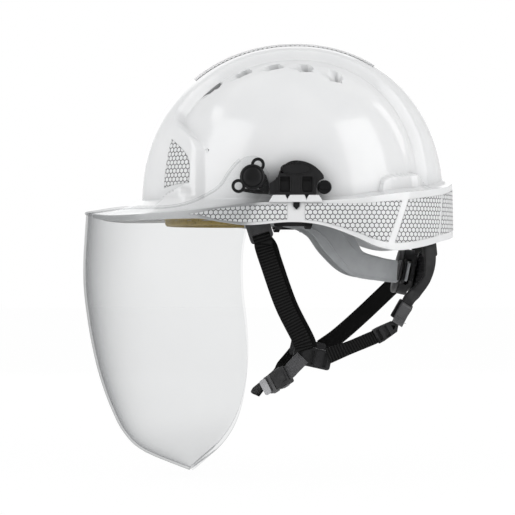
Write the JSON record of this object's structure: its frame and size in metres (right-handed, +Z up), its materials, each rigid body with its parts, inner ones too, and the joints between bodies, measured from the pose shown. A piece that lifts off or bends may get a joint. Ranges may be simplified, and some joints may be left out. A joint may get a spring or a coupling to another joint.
{
  "type": "hard hat",
  "caption": "White crested industrial safety helmet with a raisable clear full-face visor, ratchet headband, crown straps and a four-point chin strap.",
  "frame": {"origin": "middle of the rim plane, where the head goes in", "axes": "+Z up, -Y the way the wearer faces, +X to the wearer's left"},
  "size_m": [0.2408, 0.321, 0.3699],
  "materials": {
    "shell_white": "glossy white moulded plastic",
    "reflective_grey": "hexagon-pattern retroreflective film",
    "fitting_black": "satin black moulded plastic",
    "clear_sheet": "clear polycarbonate",
    "washer_white": "natural nylon",
    "harness_grey": "satin grey moulded plastic",
    "sweatband_tan": "tan leatherette",
    "pad_black": "soft foam pad",
    "cradle_grey": "woven textile webbing",
    "webbing_black": "ribbed polyester webbing",
    "buckle_grey": "satin dark grey moulded plastic",
    "button_grey": "satin grey moulded plastic"
  },
  "bodies": {
    "helmet": {"shell": "shell_white", "crown_sticker": "reflective_grey", "brow_sticker_left": "reflective_grey", "brow_sticker_right": "reflective_grey", "side_sticker_left": "reflective_grey", "side_sticker_right": "reflective_grey", "rear_sticker": "reflective_grey", "ratchet_housing": "fitting_black", "ratchet_cover": "fitting_black", "rear_anchor_left": "fitting_black", "rear_anchor_right": "fitting_black", "side_adapter_left": "fitting_black", "side_adapter_right": "fitting_black", "slot_clip_left": "fitting_black", "slot_clip_right": "fitting_black", "visor_carrier_left": "fitting_black", "visor_carrier_right": "fitting_black", "rear_arm_left": "fitting_black", "cam_body_left": "fitting_black", "friction_washer_left": "washer_white", "friction_washer_right": "washer_white", "headband": "harness_grey", "hanger_long_front": "harness_grey", "hanger_long_rear": "harness_grey", "hanger_left_front": "harness_grey", "hanger_left_rear": "harness_grey", "hanger_right_front": "harness_grey", "hanger_right_rear": "harness_grey", "sweatband": "sweatband_tan", "nape_pad": "pad_black", "cradle_strap_long": "cradle_grey", "cradle_strap_left": "cradle_grey", "cradle_strap_right": "cradle_grey", "front_strap_left": "webbing_black", "front_strap_right": "webbing_black", "rear_strap_left": "webbing_black", "rear_strap_right": "webbing_black", "chin_strap_short": "webbing_black", "chin_strap_long": "webbing_black", "front_anchor_left": "buckle_grey", "front_anchor_right": "buckle_grey", "divider_left": "buckle_grey", "divider_right": "buckle_grey", "lower_adjuster_left": "buckle_grey", "buckle_socket": "buckle_grey", "buckle_plug": "buckle_grey"},
    "visor_body": {"visor": "clear_sheet"},
    "knob_left": {"pivot_knob_left": "fitting_black"},
    "knob_right": {"pivot_knob_right": "fitting_black"},
    "switch_left": {"release_switch_left": "fitting_black"},
    "switch_right": {"release_switch_right": "fitting_black"},
    "ratchet": {"ratchet_knob": "fitting_black", "ratchet_pinion": "fitting_black"},
    "rack_left_body": {"rack_left": "harness_grey"},
    "rack_right_body": {"rack_right": "harness_grey"},
    "cam_lever": {"cam_lever_left": "buckle_grey"},
    "button_upper": {"buckle_button_upper": "button_grey"},
    "button_lower": {"buckle_button_lower": "button_grey"}
  },
  "joints": [
    {"name": "visor_pivot", "type": "hinge", "parent": "helmet", "child": "visor_body", "pos_m": [0, -0.0376, 0.0286], "axis": [-1, 0, 0], "range_deg": [0, 78]},
    {"name": "pivot_lock_left", "type": "hinge", "parent": "helmet", "child": "knob_left", "pos_m": [0.114, -0.0376, 0.0286], "axis": [1, 0, 0], "range_deg": [0, 45]},
    {"name": "pivot_lock_right", "type": "hinge", "parent": "helmet", "child": "knob_right", "pos_m": [-0.114, -0.0376, 0.0286], "axis": [-1, 0, 0], "range_deg": [0, 45]},
    {"name": "release_turn_left", "type": "hinge", "parent": "helmet", "child": "switch_left", "pos_m": [0.108, 0.0214, 0.0206], "axis": [1, 0, 0], "range_deg": [0, 90]},
    {"name": "release_turn_right", "type": "hinge", "parent": "helmet", "child": "switch_right", "pos_m": [-0.108, 0.0214, 0.0206], "axis": [-1, 0, 0], "range_deg": [0, 90]},
    {"name": "ratchet_turn", "type": "hinge", "parent": "helmet", "child": "ratchet", "pos_m": [0, 0.097, -0.05], "axis": [0, 0.9781, -0.2079], "range_deg": [-120, 120]},
    {"name": "rack_left_slide", "type": "slide", "parent": "helmet", "child": "rack_left_body", "axis": [1, 0, 0], "range_m": [-0.0084, 0.0084]},
    {"name": "rack_right_slide", "type": "slide", "parent": "helmet", "child": "rack_right_body", "axis": [-1, 0, 0], "range_m": [-0.0084, 0.0084]},
    {"name": "cam_release", "type": "hinge", "parent": "helmet", "child": "cam_lever", "pos_m": [0.06811, 0.09069, -0.07867], "axis": [0.2475, -0.8248, 0.5083], "range_deg": [0, 60]},
    {"name": "button_upper_press", "type": "slide", "parent": "helmet", "child": "button_upper", "axis": [0.2799, 0.4429, -0.8518], "range_m": [0, 0.002], "stiffness_N_per_m": 400, "springref_m": -0.0005},
    {"name": "button_lower_press", "type": "slide", "parent": "helmet", "child": "button_lower", "axis": [-0.2799, -0.4429, 0.8518], "range_m": [0, 0.002], "stiffness_N_per_m": 400, "springref_m": -0.0005}
  ],
  "couplings": [
    {"joint": "rack_left_slide", "follows": "ratchet_turn", "m_per_rad": 0.0039789},
    {"joint": "rack_right_slide", "follows": "ratchet_turn", "m_per_rad": 0.0039789}
  ]
}
